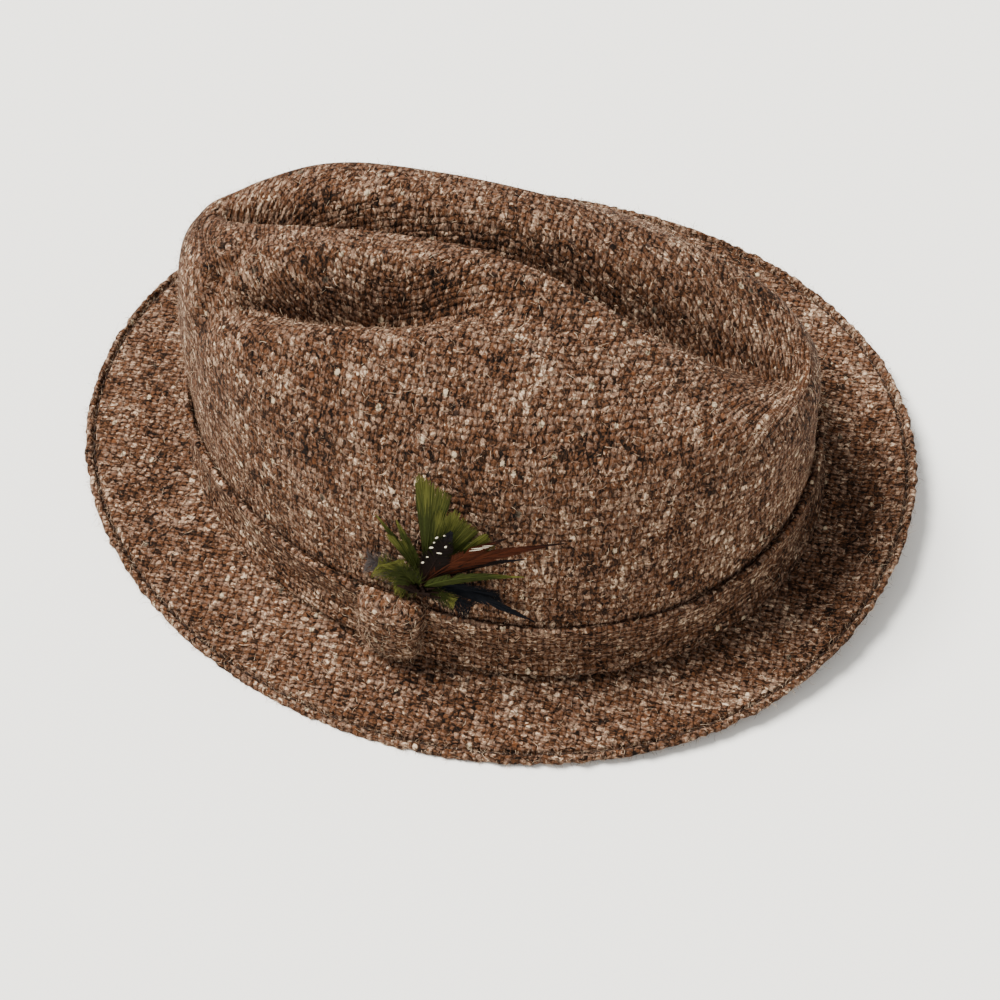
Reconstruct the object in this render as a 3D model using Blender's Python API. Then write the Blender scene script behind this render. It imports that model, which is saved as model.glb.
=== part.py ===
# Soft tweed hat with a creased crown, a snapped brim, a cloth band and a feather bunch.
# Metres, +Z up. The hat's front faces -Y and the wearer's left, with the feathers, is +X.
from math import cos, pi, radians, sin

import bpy
import numpy as np

# Named sizes
HEAD_LENGTH = 0.199
HEAD_WIDTH = 0.166
HEAD_SHIFT = 0.0045
CROWN_HEIGHT = 0.100
CROWN_WALL = 0.002
CREASE_SHIFT = -0.004
BRIM_LENGTH = 0.266
BRIM_WIDTH = 0.224
BRIM_EGG = 0.02
BRIM_FULL = 0.09
BRIM_THICK = 0.0030
BRIM_MARGIN = 0.0035
BAND_HEIGHT = 0.0218
BAND_THICK = 0.0024
GAP = 0.0003
SIDES = 64
CROWN_ROWS = 24
LOOP_ANGLE = 83.2
LOOP_SPREAD = 5.9
LOOP_TAPER = 0.90
LOOP_HEIGHT = 0.0262
LOOP_PUFF = 0.0040
BUNCH_ANGLE = 87.3
BUNCH_HEIGHT = 0.036
BUNCH_LEAN = 7
HUB_RADIUS = 0.0028
HUB_SIDES = 16
LEAF_THICK = 0.0007
LEVEL_STEP = 0.0013
WALL_CURVE = 0.150

# Rings of the crown from the brim up and over to the crease.
# front and back are shares of half the head length, near and far of half the head width,
# full and egg shape the ring in plan, the rises are shares of the crown height, and
# shift moves the ring towards the near side, in metres.
CROWN_RINGS = [
    # name, front, back, near, far, full, egg, rise_front, rise_near, rise_back, rise_far, shift
    ("base", 1.00, 0.98, 1.00, 1.00, 0.00, 0.05, 0.00, 0.00, 0.00, 0.00, 0),
    ("band_top", 1.01, 0.96, 0.985, 0.975, 0.00, 0.05, 0.25, 0.25, 0.24, 0.24, 0),
    ("wall", 1.03, 0.955, 0.94, 0.79, 0.02, 0.03, 0.50, 0.52, 0.43, 0.39, 0),
    ("shoulder", 1.01, 0.955, 0.81, 0.56, 0.20, 0.02, 0.72, 0.76, 0.56, 0.57, 0),
    ("brow", 0.97, 0.935, 0.58, 0.37, 0.50, 0.06, 0.805, 0.93, 0.62, 0.75, 0),
    ("roll", 0.94, 0.915, 0.33, 0.25, 0.90, 0.18, 0.835, 0.985, 0.645, 0.89, 0),
    ("ridge", 0.915, 0.90, 0.190, 0.175, 1.20, 0.26, 0.84, 1.00, 0.64, 0.965, 0.0005),
    ("lip", 0.885, 0.885, 0.115, 0.10, 1.20, 0.30, 0.820, 0.95, 0.62, 0.945, 0.0045),
    ("crease", 0.84, 0.865, 0.00, 0.00, 1.20, 0.32, 0.80, 0.76, 0.58, 0.76, 0.0095),
]

# Dents pushed into the crown. ring counts the rings above, sizes are in metres.
CROWN_DENTS = [
    # name, angle, ring, half_length, half_height, depth, tilt
    ("near_pinch", 66, 4.42, 0.031, 0.0085, 0.0118, 14),
    ("far_pinch", -40, 4.3, 0.026, 0.0100, 0.0080, 0),
    ("front_tuck", 35, 4.3, 0.0045, 0.0110, 0.0025, 0),
]

# Brim sections round the hat. Rises are heights of the top face in metres.
BRIM_SECTIONS = [
    # angle, base_rise, edge_rise, bow, spread
    (0, 0.0062, 0.0028, 0.0006, 1.000),
    (45, 0.0082, 0.0023, -0.0006, 0.970),
    (90, 0.0090, 0.0022, -0.0014, 1.000),
    (135, 0.0066, 0.0060, -0.0020, 0.985),
    (180, 0.0056, 0.0136, -0.0030, 1.000),
    (225, 0.0066, 0.0060, -0.0020, 1.000),
    (270, 0.0090, 0.0022, -0.0014, 1.000),
    (315, 0.0082, 0.0023, -0.0006, 1.000),
]

# Band section, shares of its thickness and height.
BAND_PROFILE = [
    # out, up
    (0.00, 0.02),
    (0.60, 0.00),
    (0.96, 0.02),
    (1.00, 0.08),
    (0.84, 0.20),
    (0.76, 0.50),
    (0.84, 0.82),
    (1.02, 0.93),
    (0.98, 0.98),
    (0.60, 1.00),
    (0.00, 0.98),
    (0.00, 0.66),
    (0.00, 0.34),
]

# Feathers of the bunch. level counts outwards from the crown, aim is in degrees from
# the band's direction towards the hat's back, and the sizes are in metres.
FEATHERS = [
    # name, level, aim, reach, width, bend, dip
    ("tall_green", 0, 92, 0.0445, 0.0115, 0.0030, 0.0010),
    ("middle_green", 0, 66, 0.039, 0.0095, -0.0010, 0.0010),
    ("left_spike", 0, 123, 0.025, 0.0042, 0.0010, 0.0005),
    ("grey_fluff", 0, 175, 0.0175, 0.0080, 0.0020, 0.0005),
    ("navy_point", 0, 0, 0.038, 0.0045, -0.0035, 0.0000),
    ("quills", 0, 260, 0.0118, 0.0028, 0.0000, 0.0000),
    ("side_green", 1, 55, 0.040, 0.0080, -0.0020, 0.0010),
    ("left_green", 1, 106, 0.025, 0.0048, 0.0010, 0.0010),
    ("green_fluff", 1, 160, 0.013, 0.0080, 0.0020, 0.0010),
    ("low_green", 1, 33, 0.036, 0.0040, 0.0000, 0.0010),
    ("navy_fan", 1, -20, 0.017, 0.0080, 0.0000, 0.0005),
    ("spotted", 2, 72, 0.028, 0.0080, 0.0010, 0.0010),
    ("rust", 2, 45, 0.051, 0.0055, -0.0030, 0.0010),
    ("striped", 3, 45, 0.040, 0.0040, -0.0010, 0.0010),
]

# Outline of one feather.
FEATHER_OUTLINE = [
    # share, width, thick
    (0.18, 0.55, 1.00),
    (0.40, 0.95, 0.95),
    (0.62, 1.00, 0.90),
    (0.82, 0.72, 0.80),
    (0.95, 0.30, 0.70),
    (1.00, 0.08, 0.60),
]


def round_hat(front, near, back, far, angle):
    """Value that passes smoothly through four values round the hat."""
    level = (front + near + back + far) / 4
    swing = (front - back) / 2
    side = (near - far) / 2
    double = (front + back - near - far) / 4
    return level + swing * np.cos(angle) + side * np.sin(angle) + double * np.cos(2 * angle)


def section_value(rows, column, angle):
    """Smooth value of one column of a table of sections, round the hat."""
    turns = [(row[0] + turn, row[column]) for turn in (-360, 0, 360) for row in rows]
    knots = np.array([key for key, value in turns], dtype=float)
    values = np.array([value for key, value in turns])
    steps = np.diff(knots)
    slopes = np.diff(values) / steps
    lean = np.zeros(len(knots))
    lean[1:-1] = (slopes[:-1] * steps[1:] + slopes[1:] * steps[:-1]) / (steps[:-1] + steps[1:])
    degrees = np.degrees(angle) % 360
    i = np.searchsorted(knots, degrees, side="right") - 1
    t = (degrees - knots[i]) / steps[i]
    start = (2 * t**3 - 3 * t**2 + 1) * values[i] + (t**3 - 2 * t**2 + t) * steps[i] * lean[i]
    end = (3 * t**2 - 2 * t**3) * values[i + 1] + (t**3 - t**2) * steps[i] * lean[i + 1]
    return start + end


def brim_base(angle):
    return section_value(BRIM_SECTIONS, 1, angle)


def crown_ring(row, angle):
    """Points of one named ring of the crown."""
    name, front, back, near, far, full, egg, rise_f, rise_n, rise_b, rise_r, shift = row
    c = np.cos(angle)
    s = np.sin(angle)
    ends = front * (1 + c) / 2 + back * (1 - c) / 2
    y = HEAD_SHIFT - HEAD_LENGTH / 2 * ends * c
    half = near * (1 + s) / 2 + far * (1 - s) / 2
    drift = (CREASE_SHIFT * (1 - (near + far) / 2) + shift) * (1 - 0.8 * c * c)
    x = drift + HEAD_WIDTH / 2 * half * s * (1 + full * c * c) * (1 - egg * c)
    rise = round_hat(rise_f, rise_n, rise_b, rise_r, angle)
    z = brim_base(angle) + GAP + CROWN_HEIGHT * rise
    return np.stack([x, y, z], axis=-1)


def crown_skin(angle, ring):
    """Outer skin of the crown without its dents, at a ring count that may be a fraction."""
    rings = [crown_ring(row, angle) for row in CROWN_RINGS]
    rings = [2 * rings[0] - rings[1]] + rings + [2 * rings[-1] - rings[-2]]
    i = int(min(ring, len(CROWN_RINGS) - 1.000001))
    t = ring - i
    a, b, c, d = rings[i : i + 4]
    curve = 2 * b + (c - a) * t + (2 * a - 5 * b + 4 * c - d) * t**2
    return 0.5 * (curve + (3 * b - a - 3 * c + d) * t**3)


def grid_normals(grid):
    """Outward normals of a grid of points that is closed round the hat."""
    around = np.roll(grid, -1, axis=0) - np.roll(grid, 1, axis=0)
    along = np.gradient(grid, axis=1)
    normals = np.cross(around, along)
    length = np.linalg.norm(normals, axis=-1, keepdims=True)
    return normals / np.maximum(length, 1e-12)


def crown_levels(rows):
    """Ring counts of the rows, closer together over the ridges."""
    share = np.linspace(0, 1, rows)
    return (len(CROWN_RINGS) - 1) * (1.25 * share - 0.25 * share**2)


def crown_grid(sides, rows):
    """Grid of the crown's outer skin with its dents, and the normals."""
    angle = np.linspace(0, 2 * pi, sides, endpoint=False)
    grid = np.stack([crown_skin(angle, ring) for ring in crown_levels(rows)], axis=1)
    normals = grid_normals(grid)
    shift = np.zeros(grid.shape[:2])
    for name, degrees, ring, half_length, half_height, depth, tilt in CROWN_DENTS:
        spot = np.array([radians(degrees)])
        step = np.array([radians(degrees + 1)])
        middle = crown_skin(spot, ring)[0]
        level = crown_skin(step, ring)[0] - middle
        rise = crown_skin(spot, ring + 0.1)[0] - middle
        level /= np.linalg.norm(level)
        rise /= np.linalg.norm(rise)
        along = level * cos(radians(tilt)) + rise * sin(radians(tilt))
        across = rise * cos(radians(tilt)) - level * sin(radians(tilt))
        away = grid - middle
        reach = (away @ along / half_length) ** 2 + (away @ across / half_height) ** 2
        near = np.exp(-((np.linalg.norm(away, axis=-1) / (2.2 * half_length)) ** 4))
        shift += depth * np.exp(-reach) * near
    shift[:, -1] = 0
    return grid - normals * shift[..., None], normals


def wall_at(angle, height):
    """Point of the crown's outer wall at a height above the brim, and its level normal."""
    levels = np.linspace(0, 1.6, 33)
    skins = np.stack([crown_skin(angle, ring) for ring in levels], axis=1)
    rises = skins[..., 2] - brim_base(angle)[:, None]
    points = np.empty((len(angle), 3))
    for k in range(len(angle)):
        for axis in range(3):
            points[k, axis] = np.interp(height, rises[k], skins[k, :, axis])
    step = 0.01
    ahead = crown_skin(angle + step, 1.0)
    behind = crown_skin(angle - step, 1.0)
    level = ahead - behind
    normal = np.stack([level[:, 1], -level[:, 0], np.zeros(len(angle))], axis=-1)
    return points, normal / np.linalg.norm(normal, axis=1, keepdims=True)


def brim_edge(angle):
    c = np.cos(angle)
    x = BRIM_WIDTH / 2 * np.sin(angle) * (1 + BRIM_FULL * c * c) * (1 - BRIM_EGG * c)
    spread = section_value(BRIM_SECTIONS, 4, angle)
    return np.stack([x, -BRIM_LENGTH / 2 * c], axis=-1) * spread[:, None]


def brim_top(angle, share):
    """Top face of the brim, share 0 at the crown and 1 at the edge."""
    wall = crown_ring(CROWN_RINGS[0], angle)[:, :2]
    edge = brim_edge(angle)
    base = brim_base(angle)
    rim = section_value(BRIM_SECTIONS, 2, angle)
    bow = section_value(BRIM_SECTIONS, 3, angle)
    inward = wall - np.array([0.0, HEAD_SHIFT])
    inward /= np.linalg.norm(inward, axis=1, keepdims=True)
    if share < 0:
        flat = wall + inward * share
        return np.column_stack([flat, base])
    flat = wall + (edge - wall) * share
    return np.column_stack([flat, base + (rim - base) * share + 4 * bow * share * (1 - share)])


def body(name, verts, faces, paint):
    mesh = bpy.data.meshes.new(name)
    mesh.from_pydata([tuple(v) for v in verts], [], faces)
    mesh.update()
    for face in mesh.polygons:
        face.use_smooth = True
    mesh.materials.append(paint)
    part = bpy.data.objects.new(name, mesh)
    bpy.context.scene.collection.objects.link(part)
    return part


def paint(name, colour, rough):
    material = bpy.data.materials.new(name)
    material.use_nodes = True
    shader = material.node_tree.nodes["Principled BSDF"]
    shader.inputs["Base Color"].default_value = (*colour, 1)
    shader.inputs["Roughness"].default_value = rough
    shader.inputs["Metallic"].default_value = 0
    return material


def ring_body(name, loops, paint):
    """Closed body swept round the hat: loops[k] is the k-th line round, in section order."""
    count = len(loops)
    sides = len(loops[0])
    verts = [tuple(p) for loop in loops for p in loop]
    faces = []
    for k in range(count):
        after = (k + 1) % count
        for i in range(sides):
            j = (i + 1) % sides
            faces.append((k * sides + i, k * sides + j, after * sides + j, after * sides + i))
    return body(name, verts, faces, paint)


def make_crown(cloth):
    outer, normals = crown_grid(SIDES, CROWN_ROWS)
    thick = np.full(outer.shape[:2], CROWN_WALL)
    down = normals.copy()
    mirror = (-np.arange(SIDES)) % SIDES
    down[:, -1] = down[:, -1] + down[mirror, -1]
    down[:, -1] /= np.linalg.norm(down[:, -1], axis=1, keepdims=True)
    thick[:, -1] *= 1.5
    down[:, 0, 2] = 0
    down[:, 0] /= np.linalg.norm(down[:, 0], axis=1, keepdims=True)
    inner = outer - down * thick[..., None]
    rows = outer.shape[1]
    half = SIDES // 2
    verts = []
    index = {}
    for side, grid in (("out", outer), ("in", inner)):
        for row in range(rows):
            for i in range(SIDES if row < rows - 1 else half + 1):
                index[side, i, row] = len(verts)
                verts.append(tuple(grid[i, row]))

    def at(side, i, row):
        i %= SIDES
        return index[side, min(i, SIDES - i) if row == rows - 1 else i, row]

    faces = []
    for row in range(rows - 1):
        for i in range(SIDES):
            faces.append((at("out", i, row), at("out", i + 1, row), at("out", i + 1, row + 1), at("out", i, row + 1)))
            faces.append((at("in", i, row + 1), at("in", i + 1, row + 1), at("in", i + 1, row), at("in", i, row)))
    for i in range(SIDES):
        faces.append((at("out", i + 1, 0), at("out", i, 0), at("in", i, 0), at("in", i + 1, 0)))
    return body("crown", verts, faces, cloth)


def make_brim(cloth):
    angle = np.linspace(0, 2 * pi, SIDES, endpoint=False)
    shares = [-BRIM_MARGIN, 0.0, 0.3, 0.6, 0.84, 0.94]
    top = [brim_top(angle, share) for share in shares]
    edge = brim_top(angle, 1.0)
    low = [np.column_stack([t[:, :2], np.maximum(t[:, 2] - BRIM_THICK, 0)]) for t in top]
    rim_high = edge.copy()
    rim_high[:, 2] = edge[:, 2] - 0.30 * BRIM_THICK
    rim_low = edge.copy()
    rim_low[:, 2] = np.maximum(edge[:, 2] - 0.75 * BRIM_THICK, 0.0004)
    under = brim_top(angle, 0.97)
    under[:, 2] = np.maximum(under[:, 2] - BRIM_THICK, 0)
    loops = top + [rim_high, rim_low, under] + low[::-1]
    return ring_body("brim", loops[::-1], cloth)


def make_band(cloth):
    angle = np.linspace(0, 2 * pi, SIDES, endpoint=False)
    loops = []
    for out, up in BAND_PROFILE:
        height = 0.0010 + BAND_HEIGHT * up
        points, normal = wall_at(angle, height)
        line = points + normal * (GAP + BAND_THICK * out)
        line[:, 2] = brim_base(angle) + height
        loops.append(line)
    return ring_body("band", loops, cloth)


def make_loop(cloth):
    """Padded tab that holds the band: a front face, a back face and a rim between them."""
    columns = 9
    rows = 9
    wide = np.linspace(-1, 1, columns)
    tall = np.linspace(0, 1, rows)
    grids = {"front": [], "back": []}
    for up in tall:
        taper = LOOP_TAPER + (1 - LOOP_TAPER) * up
        angle = np.radians(LOOP_ANGLE + LOOP_SPREAD * wide * taper + 0.8 * (up - 0.5))
        height = 0.0007 + LOOP_HEIGHT * up + 0.0006 * (1 - wide**2) * (up - 0.5)
        points = np.empty((columns, 3))
        normal = np.empty((columns, 3))
        for k in range(columns):
            spot, away = wall_at(angle[k : k + 1], height[k])
            spot[0, 2] = brim_base(angle[k]) + height[k]
            points[k] = spot[0]
            normal[k] = away[0]
        inside = 2 * GAP + 1.02 * BAND_THICK
        edge = (1 - wide**4) ** 0.6 * (1 - (2 * up - 1) ** 4) ** 0.6
        grids["back"].append(points + normal * inside)
        grids["front"].append(points + normal * (inside + 0.0012 + LOOP_PUFF * edge[:, None]))
    verts = [tuple(p) for side in ("front", "back") for row in grids[side] for p in row]
    back = columns * rows
    faces = []
    for r in range(rows - 1):
        for c in range(columns - 1):
            k = r * columns + c
            faces.append((k, k + 1, k + 1 + columns, k + columns))
            faces.append((back + k + columns, back + k + 1 + columns, back + k + 1, back + k))
    border = [c for c in range(columns)]
    border += [r * columns + columns - 1 for r in range(1, rows)]
    border += [(rows - 1) * columns + c for c in range(columns - 2, -1, -1)]
    border += [r * columns for r in range(rows - 2, 0, -1)]
    for k, first in enumerate(border):
        second = border[(k + 1) % len(border)]
        faces.append((second, first, back + first, back + second))
    return body("band_loop", verts, faces, cloth)


def bunch_point(u, v, w):
    """Point of the feather bunch: along the band, up the crown and out from it."""
    angle = np.array([radians(BUNCH_ANGLE)])
    spot, away = wall_at(angle, BUNCH_HEIGHT)
    out = away[0]
    level = np.array([-out[1], out[0], 0.0])
    lean = radians(BUNCH_LEAN)
    up = np.array([0, 0, cos(lean)]) - out * sin(lean)
    lift = out * cos(lean) + np.array([0, 0, sin(lean)])
    fall = u * u / (2 * WALL_CURVE)
    return tuple(spot[0] + level * u + up * v + lift * (w - fall))


def make_feathers(feather_paint):
    verts = []
    faces = []
    rings = []
    for level in range(4):
        for side in (0, 1):
            w = 0.0006 + LEVEL_STEP * level + LEAF_THICK * side
            ring = []
            for i in range(HUB_SIDES):
                turn = 2 * pi * (i - 0.5) / HUB_SIDES
                radius = HUB_RADIUS * (1 - 0.08 * level)
                ring.append(len(verts))
                verts.append(bunch_point(radius * cos(turn), radius * sin(turn), w))
            rings.append(ring)
    faces.append(tuple(reversed(rings[0])))
    faces.append(tuple(rings[-1]))
    taken = {}
    for feather in FEATHERS:
        taken[feather[1], round(feather[2] * HUB_SIDES / 360) % HUB_SIDES] = feather
    for k in range(len(rings) - 1):
        for i in range(HUB_SIDES):
            j = (i + 1) % HUB_SIDES
            face = (rings[k][i], rings[k][j], rings[k + 1][j], rings[k + 1][i])
            feather = taken.get((k // 2, i)) if k % 2 == 0 else None
            if feather is None:
                faces.append(face)
                continue
            name, level, aim, reach, width, bend, dip = feather
            ahead = radians(aim)
            middle = 0.0006 + LEVEL_STEP * level + LEAF_THICK / 2
            previous = face
            for share, wide, thick in FEATHER_OUTLINE:
                along = HUB_RADIUS * 0.9 + (reach - HUB_RADIUS * 0.9) * share
                sway = bend * share * share
                half = width * wide / 2
                w = middle + dip * share * share
                corners = []
                for across, rise in ((-half, -1), (half, -1), (half, 1), (-half, 1)):
                    u = along * cos(ahead) - (sway + across) * sin(ahead)
                    v = along * sin(ahead) + (sway + across) * cos(ahead)
                    corners.append(len(verts))
                    verts.append(bunch_point(u, v, w + rise * thick * LEAF_THICK / 2))
                for a in range(4):
                    b = (a + 1) % 4
                    faces.append((previous[a], previous[b], corners[b], corners[a]))
                previous = tuple(corners)
            faces.append(previous)
    return body("feather_bunch", verts, faces, feather_paint)


def main():
    for old in list(bpy.data.objects):
        bpy.data.objects.remove(old, do_unlink=True)
    crown_cloth = paint("crown_tweed", (0.18, 0.10, 0.065), 0.95)
    brim_cloth = paint("brim_tweed", (0.17, 0.095, 0.06), 0.95)
    band_cloth = paint("band_tweed", (0.15, 0.085, 0.055), 0.95)
    loop_cloth = paint("loop_tweed", (0.18, 0.10, 0.065), 0.95)
    feather_green = paint("feather_green", (0.07, 0.13, 0.02), 0.7)
    make_crown(crown_cloth)
    make_brim(brim_cloth)
    make_band(band_cloth)
    make_loop(loop_cloth)
    make_feathers(feather_green)


main()
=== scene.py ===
"""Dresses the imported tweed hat: cloth crown, brim, band and loop, feather bunch, fuzz and stage."""

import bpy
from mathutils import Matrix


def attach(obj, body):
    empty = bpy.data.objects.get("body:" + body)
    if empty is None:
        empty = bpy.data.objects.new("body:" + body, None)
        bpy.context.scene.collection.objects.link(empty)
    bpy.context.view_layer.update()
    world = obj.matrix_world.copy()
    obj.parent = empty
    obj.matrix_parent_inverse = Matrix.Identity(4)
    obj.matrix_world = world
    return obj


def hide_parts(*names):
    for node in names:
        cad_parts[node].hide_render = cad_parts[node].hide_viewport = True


bl_info = {
    "name": "Tweed Hat",
    "version": (1, 0, 0),
    "blender": (4, 5, 0),
    "location": "View3D > Sidebar > Hat",
    "description": "Builds the cloth, feathers and stage of a tweed hat on its packed frame",
    "category": "Add Mesh",
}

from functools import partial
from math import cos, pi, radians, sin

import bpy
import numpy as np
from mathutils import Matrix, Vector, noise

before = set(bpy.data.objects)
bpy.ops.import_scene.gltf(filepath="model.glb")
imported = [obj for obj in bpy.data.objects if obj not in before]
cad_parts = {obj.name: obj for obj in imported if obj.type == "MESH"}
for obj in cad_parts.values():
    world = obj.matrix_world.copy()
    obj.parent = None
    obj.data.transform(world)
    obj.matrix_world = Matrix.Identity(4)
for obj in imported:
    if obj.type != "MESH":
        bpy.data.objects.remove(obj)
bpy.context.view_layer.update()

# The hat's own shape, in metres, as in the part's source.
HEAD_LENGTH = 0.199
HEAD_WIDTH = 0.166
HEAD_SHIFT = 0.0045
CROWN_HEIGHT = 0.100
CROWN_WALL = 0.002
CREASE_SHIFT = -0.004
BRIM_LENGTH = 0.266
BRIM_WIDTH = 0.224
BRIM_EGG = 0.02
BRIM_FULL = 0.09
BRIM_THICK = 0.0030
BRIM_MARGIN = 0.0035
BAND_HEIGHT = 0.0218
BAND_THICK = 0.0024
GAP = 0.0003
LOOP_ANGLE = 83.2
LOOP_SPREAD = 5.9
LOOP_TAPER = 0.90
LOOP_HEIGHT = 0.0262
LOOP_PUFF = 0.0056
BUNCH_ANGLE = 88.6
BUNCH_HEIGHT = 0.036
BUNCH_LEAN = 7
LEVEL_STEP = 0.0013
WALL_CURVE = 0.150

# How finely the cloth pieces are cut.
CROWN_SIDES = 320
CROWN_ROWS = 140
BRIM_SIDES = 800
BRIM_ROWS = 26
BAND_SIDES = 420
BAND_ROWS = 44
LOOP_CELLS = 41

# How the dents of the crown fade along their length.
DENT_BLUNT = 2.5

# Rings where the crown's threads start to run straight over the top, and how long they take.
TOP_START = 2.6
TOP_BLEND = 2.2

# Where the far half and the ends of the crown are cut from the cloth, and which faces are ends.
FAR_CLOTH = 0.41
ENDS_CLOTH = 0.83
ENDS_FACING = 0.80

# Edge of the brim: where its turned part starts, its groove, and the thread in the groove, whose dark
# colour also paints the groove's shade.
TURN_START = 0.0068
GROOVE_INSET = 0.0028
STITCHES = 232
STITCH_SHARE = 0.74
STITCH_DROPS = (0.00175, 0.00100, 0.00100, 0.00175)
THREAD_WIDE = 0.00032
THREAD_HIGH = 0.00025

# Height of the band's lower edge above the brim.
BAND_LIFT = 0.0010

# Cloth of each part: thread pitches in metres, and fibres in a metre each way.
CLOTHS = {
    "crown": (0.0019, 0.0024, (1300, 1450, 720)),
    "brim": (0.00165, 0.0021, (1500, 760, 1200)),
    "band": (0.0017, 0.0021, (800, 760, 1500)),
    "loop": (0.0019, 0.0024, (900, 820, 1300)),
}

# Corners of a flat strand and of a round one, for a half width of one.
FLAT = np.array([(1.0, 0.0), (-1.0, 0.0)])
ROUND = np.array([(cos(a * pi / 3), sin(a * pi / 3)) for a in range(6)])

# Height of the lowest feathers off the wall, and width of the wool's fibres.
FIRST_LEVEL = 0.0010
HAIR_WIDTH = 0.00009

# The photograph's camera, from the front of the hat round to the side with the feathers.
CAMERA_AZIMUTH = 105.4
CAMERA_ELEVATION = 50.9
CAMERA_DISTANCE = 0.8
CAMERA_TARGET = (0, 0.0045, 0.05)
CAMERA_LENS = 94.6
CAMERA_SHIFT = (-0.0079, -0.1426)

# Way to the main light: to the camera's right, away from the camera, and up.
LIGHT_WAY = (-0.68, 0.22, 1.20)
LIGHT_SPREAD = 0.45
FLOOR_HALF = 3.0

CROWN_RINGS = [
    # name, front, back, near, far, full, egg, rise_front, rise_near, rise_back, rise_far, shift
    ("base", 1.00, 0.98, 1.00, 1.00, 0.00, 0.05, 0.00, 0.00, 0.00, 0.00, 0),
    ("band_top", 1.01, 0.96, 0.985, 0.975, 0.00, 0.05, 0.25, 0.25, 0.24, 0.24, 0),
    ("wall", 1.03, 0.955, 0.94, 0.79, 0.02, 0.03, 0.50, 0.52, 0.43, 0.39, 0),
    ("shoulder", 1.01, 0.955, 0.81, 0.56, 0.20, 0.02, 0.72, 0.76, 0.56, 0.57, 0),
    ("brow", 0.97, 0.935, 0.58, 0.37, 0.50, 0.06, 0.805, 0.93, 0.62, 0.75, 0),
    ("roll", 0.94, 0.915, 0.33, 0.25, 0.90, 0.18, 0.835, 0.985, 0.645, 0.89, 0),
    ("ridge", 0.915, 0.90, 0.190, 0.175, 1.20, 0.26, 0.84, 1.00, 0.64, 0.965, 0.0005),
    ("lip", 0.885, 0.890, 0.115, 0.068, 1.20, 0.30, 0.820, 0.95, 0.62, 0.945, 0.0050),
    ("crease", 0.84, 0.880, 0.00, 0.00, 1.20, 0.32, 0.785, 0.685, 0.600, 0.685, 0.0070),
]

# Dents of the crown, in degrees round the hat, rings up, and metres. Less than no depth swells.
CROWN_DENTS = [
    # name, angle, ring, half_length, half_height, depth, tilt
    ("near_pinch", 66, 4.40, 0.034, 0.0078, 0.0116, 13),
    ("far_pinch", -40, 4.3, 0.026, 0.0100, 0.0080, 0),
    ("front_tuck", 35, 4.3, 0.0045, 0.0110, 0.0025, 0),
    ("pinch_fold", 66, 4.44, 0.042, 0.0042, 0.0074, 12),
    ("pinch_shelf", 66, 3.95, 0.036, 0.0045, -0.0014, 13),
    ("pinch_brow", 66, 5.16, 0.040, 0.0052, -0.0034, 11),
    ("tuck_fold", 34, 4.2, 0.0022, 0.0105, 0.0030, -8),
    ("side_hollow", 118, 2.4, 0.018, 0.0160, 0.0010, 0),
    ("front_hollow", 20, 2.5, 0.014, 0.0140, 0.0010, 0),
]

BRIM_SECTIONS = [
    # angle, base_rise, edge_rise, bow, spread
    (0, 0.0062, 0.0028, 0.0006, 1.000),
    (45, 0.0082, 0.0023, -0.0006, 0.970),
    (90, 0.0090, 0.0022, -0.0014, 1.000),
    (135, 0.0066, 0.0060, -0.0020, 0.985),
    (180, 0.0056, 0.0136, -0.0030, 1.000),
    (225, 0.0066, 0.0060, -0.0020, 1.000),
    (270, 0.0090, 0.0022, -0.0014, 1.000),
    (315, 0.0082, 0.0023, -0.0006, 1.000),
]

# The turned and stitched edge of the brim, in millimetres in from the edge and down.
BRIM_TURN = [
    # inset, drop
    (6.0, 0.00), (4.4, -0.05), (3.8, 0.00), (3.45, 0.50), (3.2, 1.70), (2.8, 2.05), (2.4, 1.70),
    (2.15, 0.45), (1.7, -0.18), (1.1, -0.36), (0.5, 0.08), (0.15, 0.42), (0.0, 0.95),
    (0.0, 1.70), (0.3, 2.40), (1.0, 2.90), (1.9, 3.00), (2.7, 2.60), (3.5, 3.00),
]

# Section of the band, shares of its thickness and height.
BAND_PROFILE = [
    # out, up
    (0.30, 0.02), (0.90, 0.02), (1.24, 0.05), (1.18, 0.11), (0.86, 0.21), (0.66, 0.35),
    (0.62, 0.55), (0.76, 0.78), (0.98, 0.88), (1.06, 0.94), (0.98, 0.99), (0.60, 1.00),
]

# Soft folds of the band. turn and long are degrees round the hat, up and high are shares.
BAND_FOLDS = [
    # name, turn, up, long, high, depth, slope
    ("valley", 96.0, 0.52, 7.0, 0.12, 0.0022, -0.012),
    ("pleat", 101.6, 0.26, 0.50, 0.22, 0.0022, 0.0),
    ("pleat_lip", 102.8, 0.28, 0.9, 0.24, -0.0005, 0.0),
    ("front_pull", 70.0, 0.45, 7.0, 0.14, 0.0012, 0.008),
    ("front_roll", 40.0, 0.55, 12.0, 0.20, 0.0005, 0.0),
    ("back_pull", 128.0, 0.45, 12.0, 0.16, 0.0006, 0.0),
    ("far_pull", 250.0, 0.5, 14.0, 0.18, 0.0006, 0.0),
]

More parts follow.
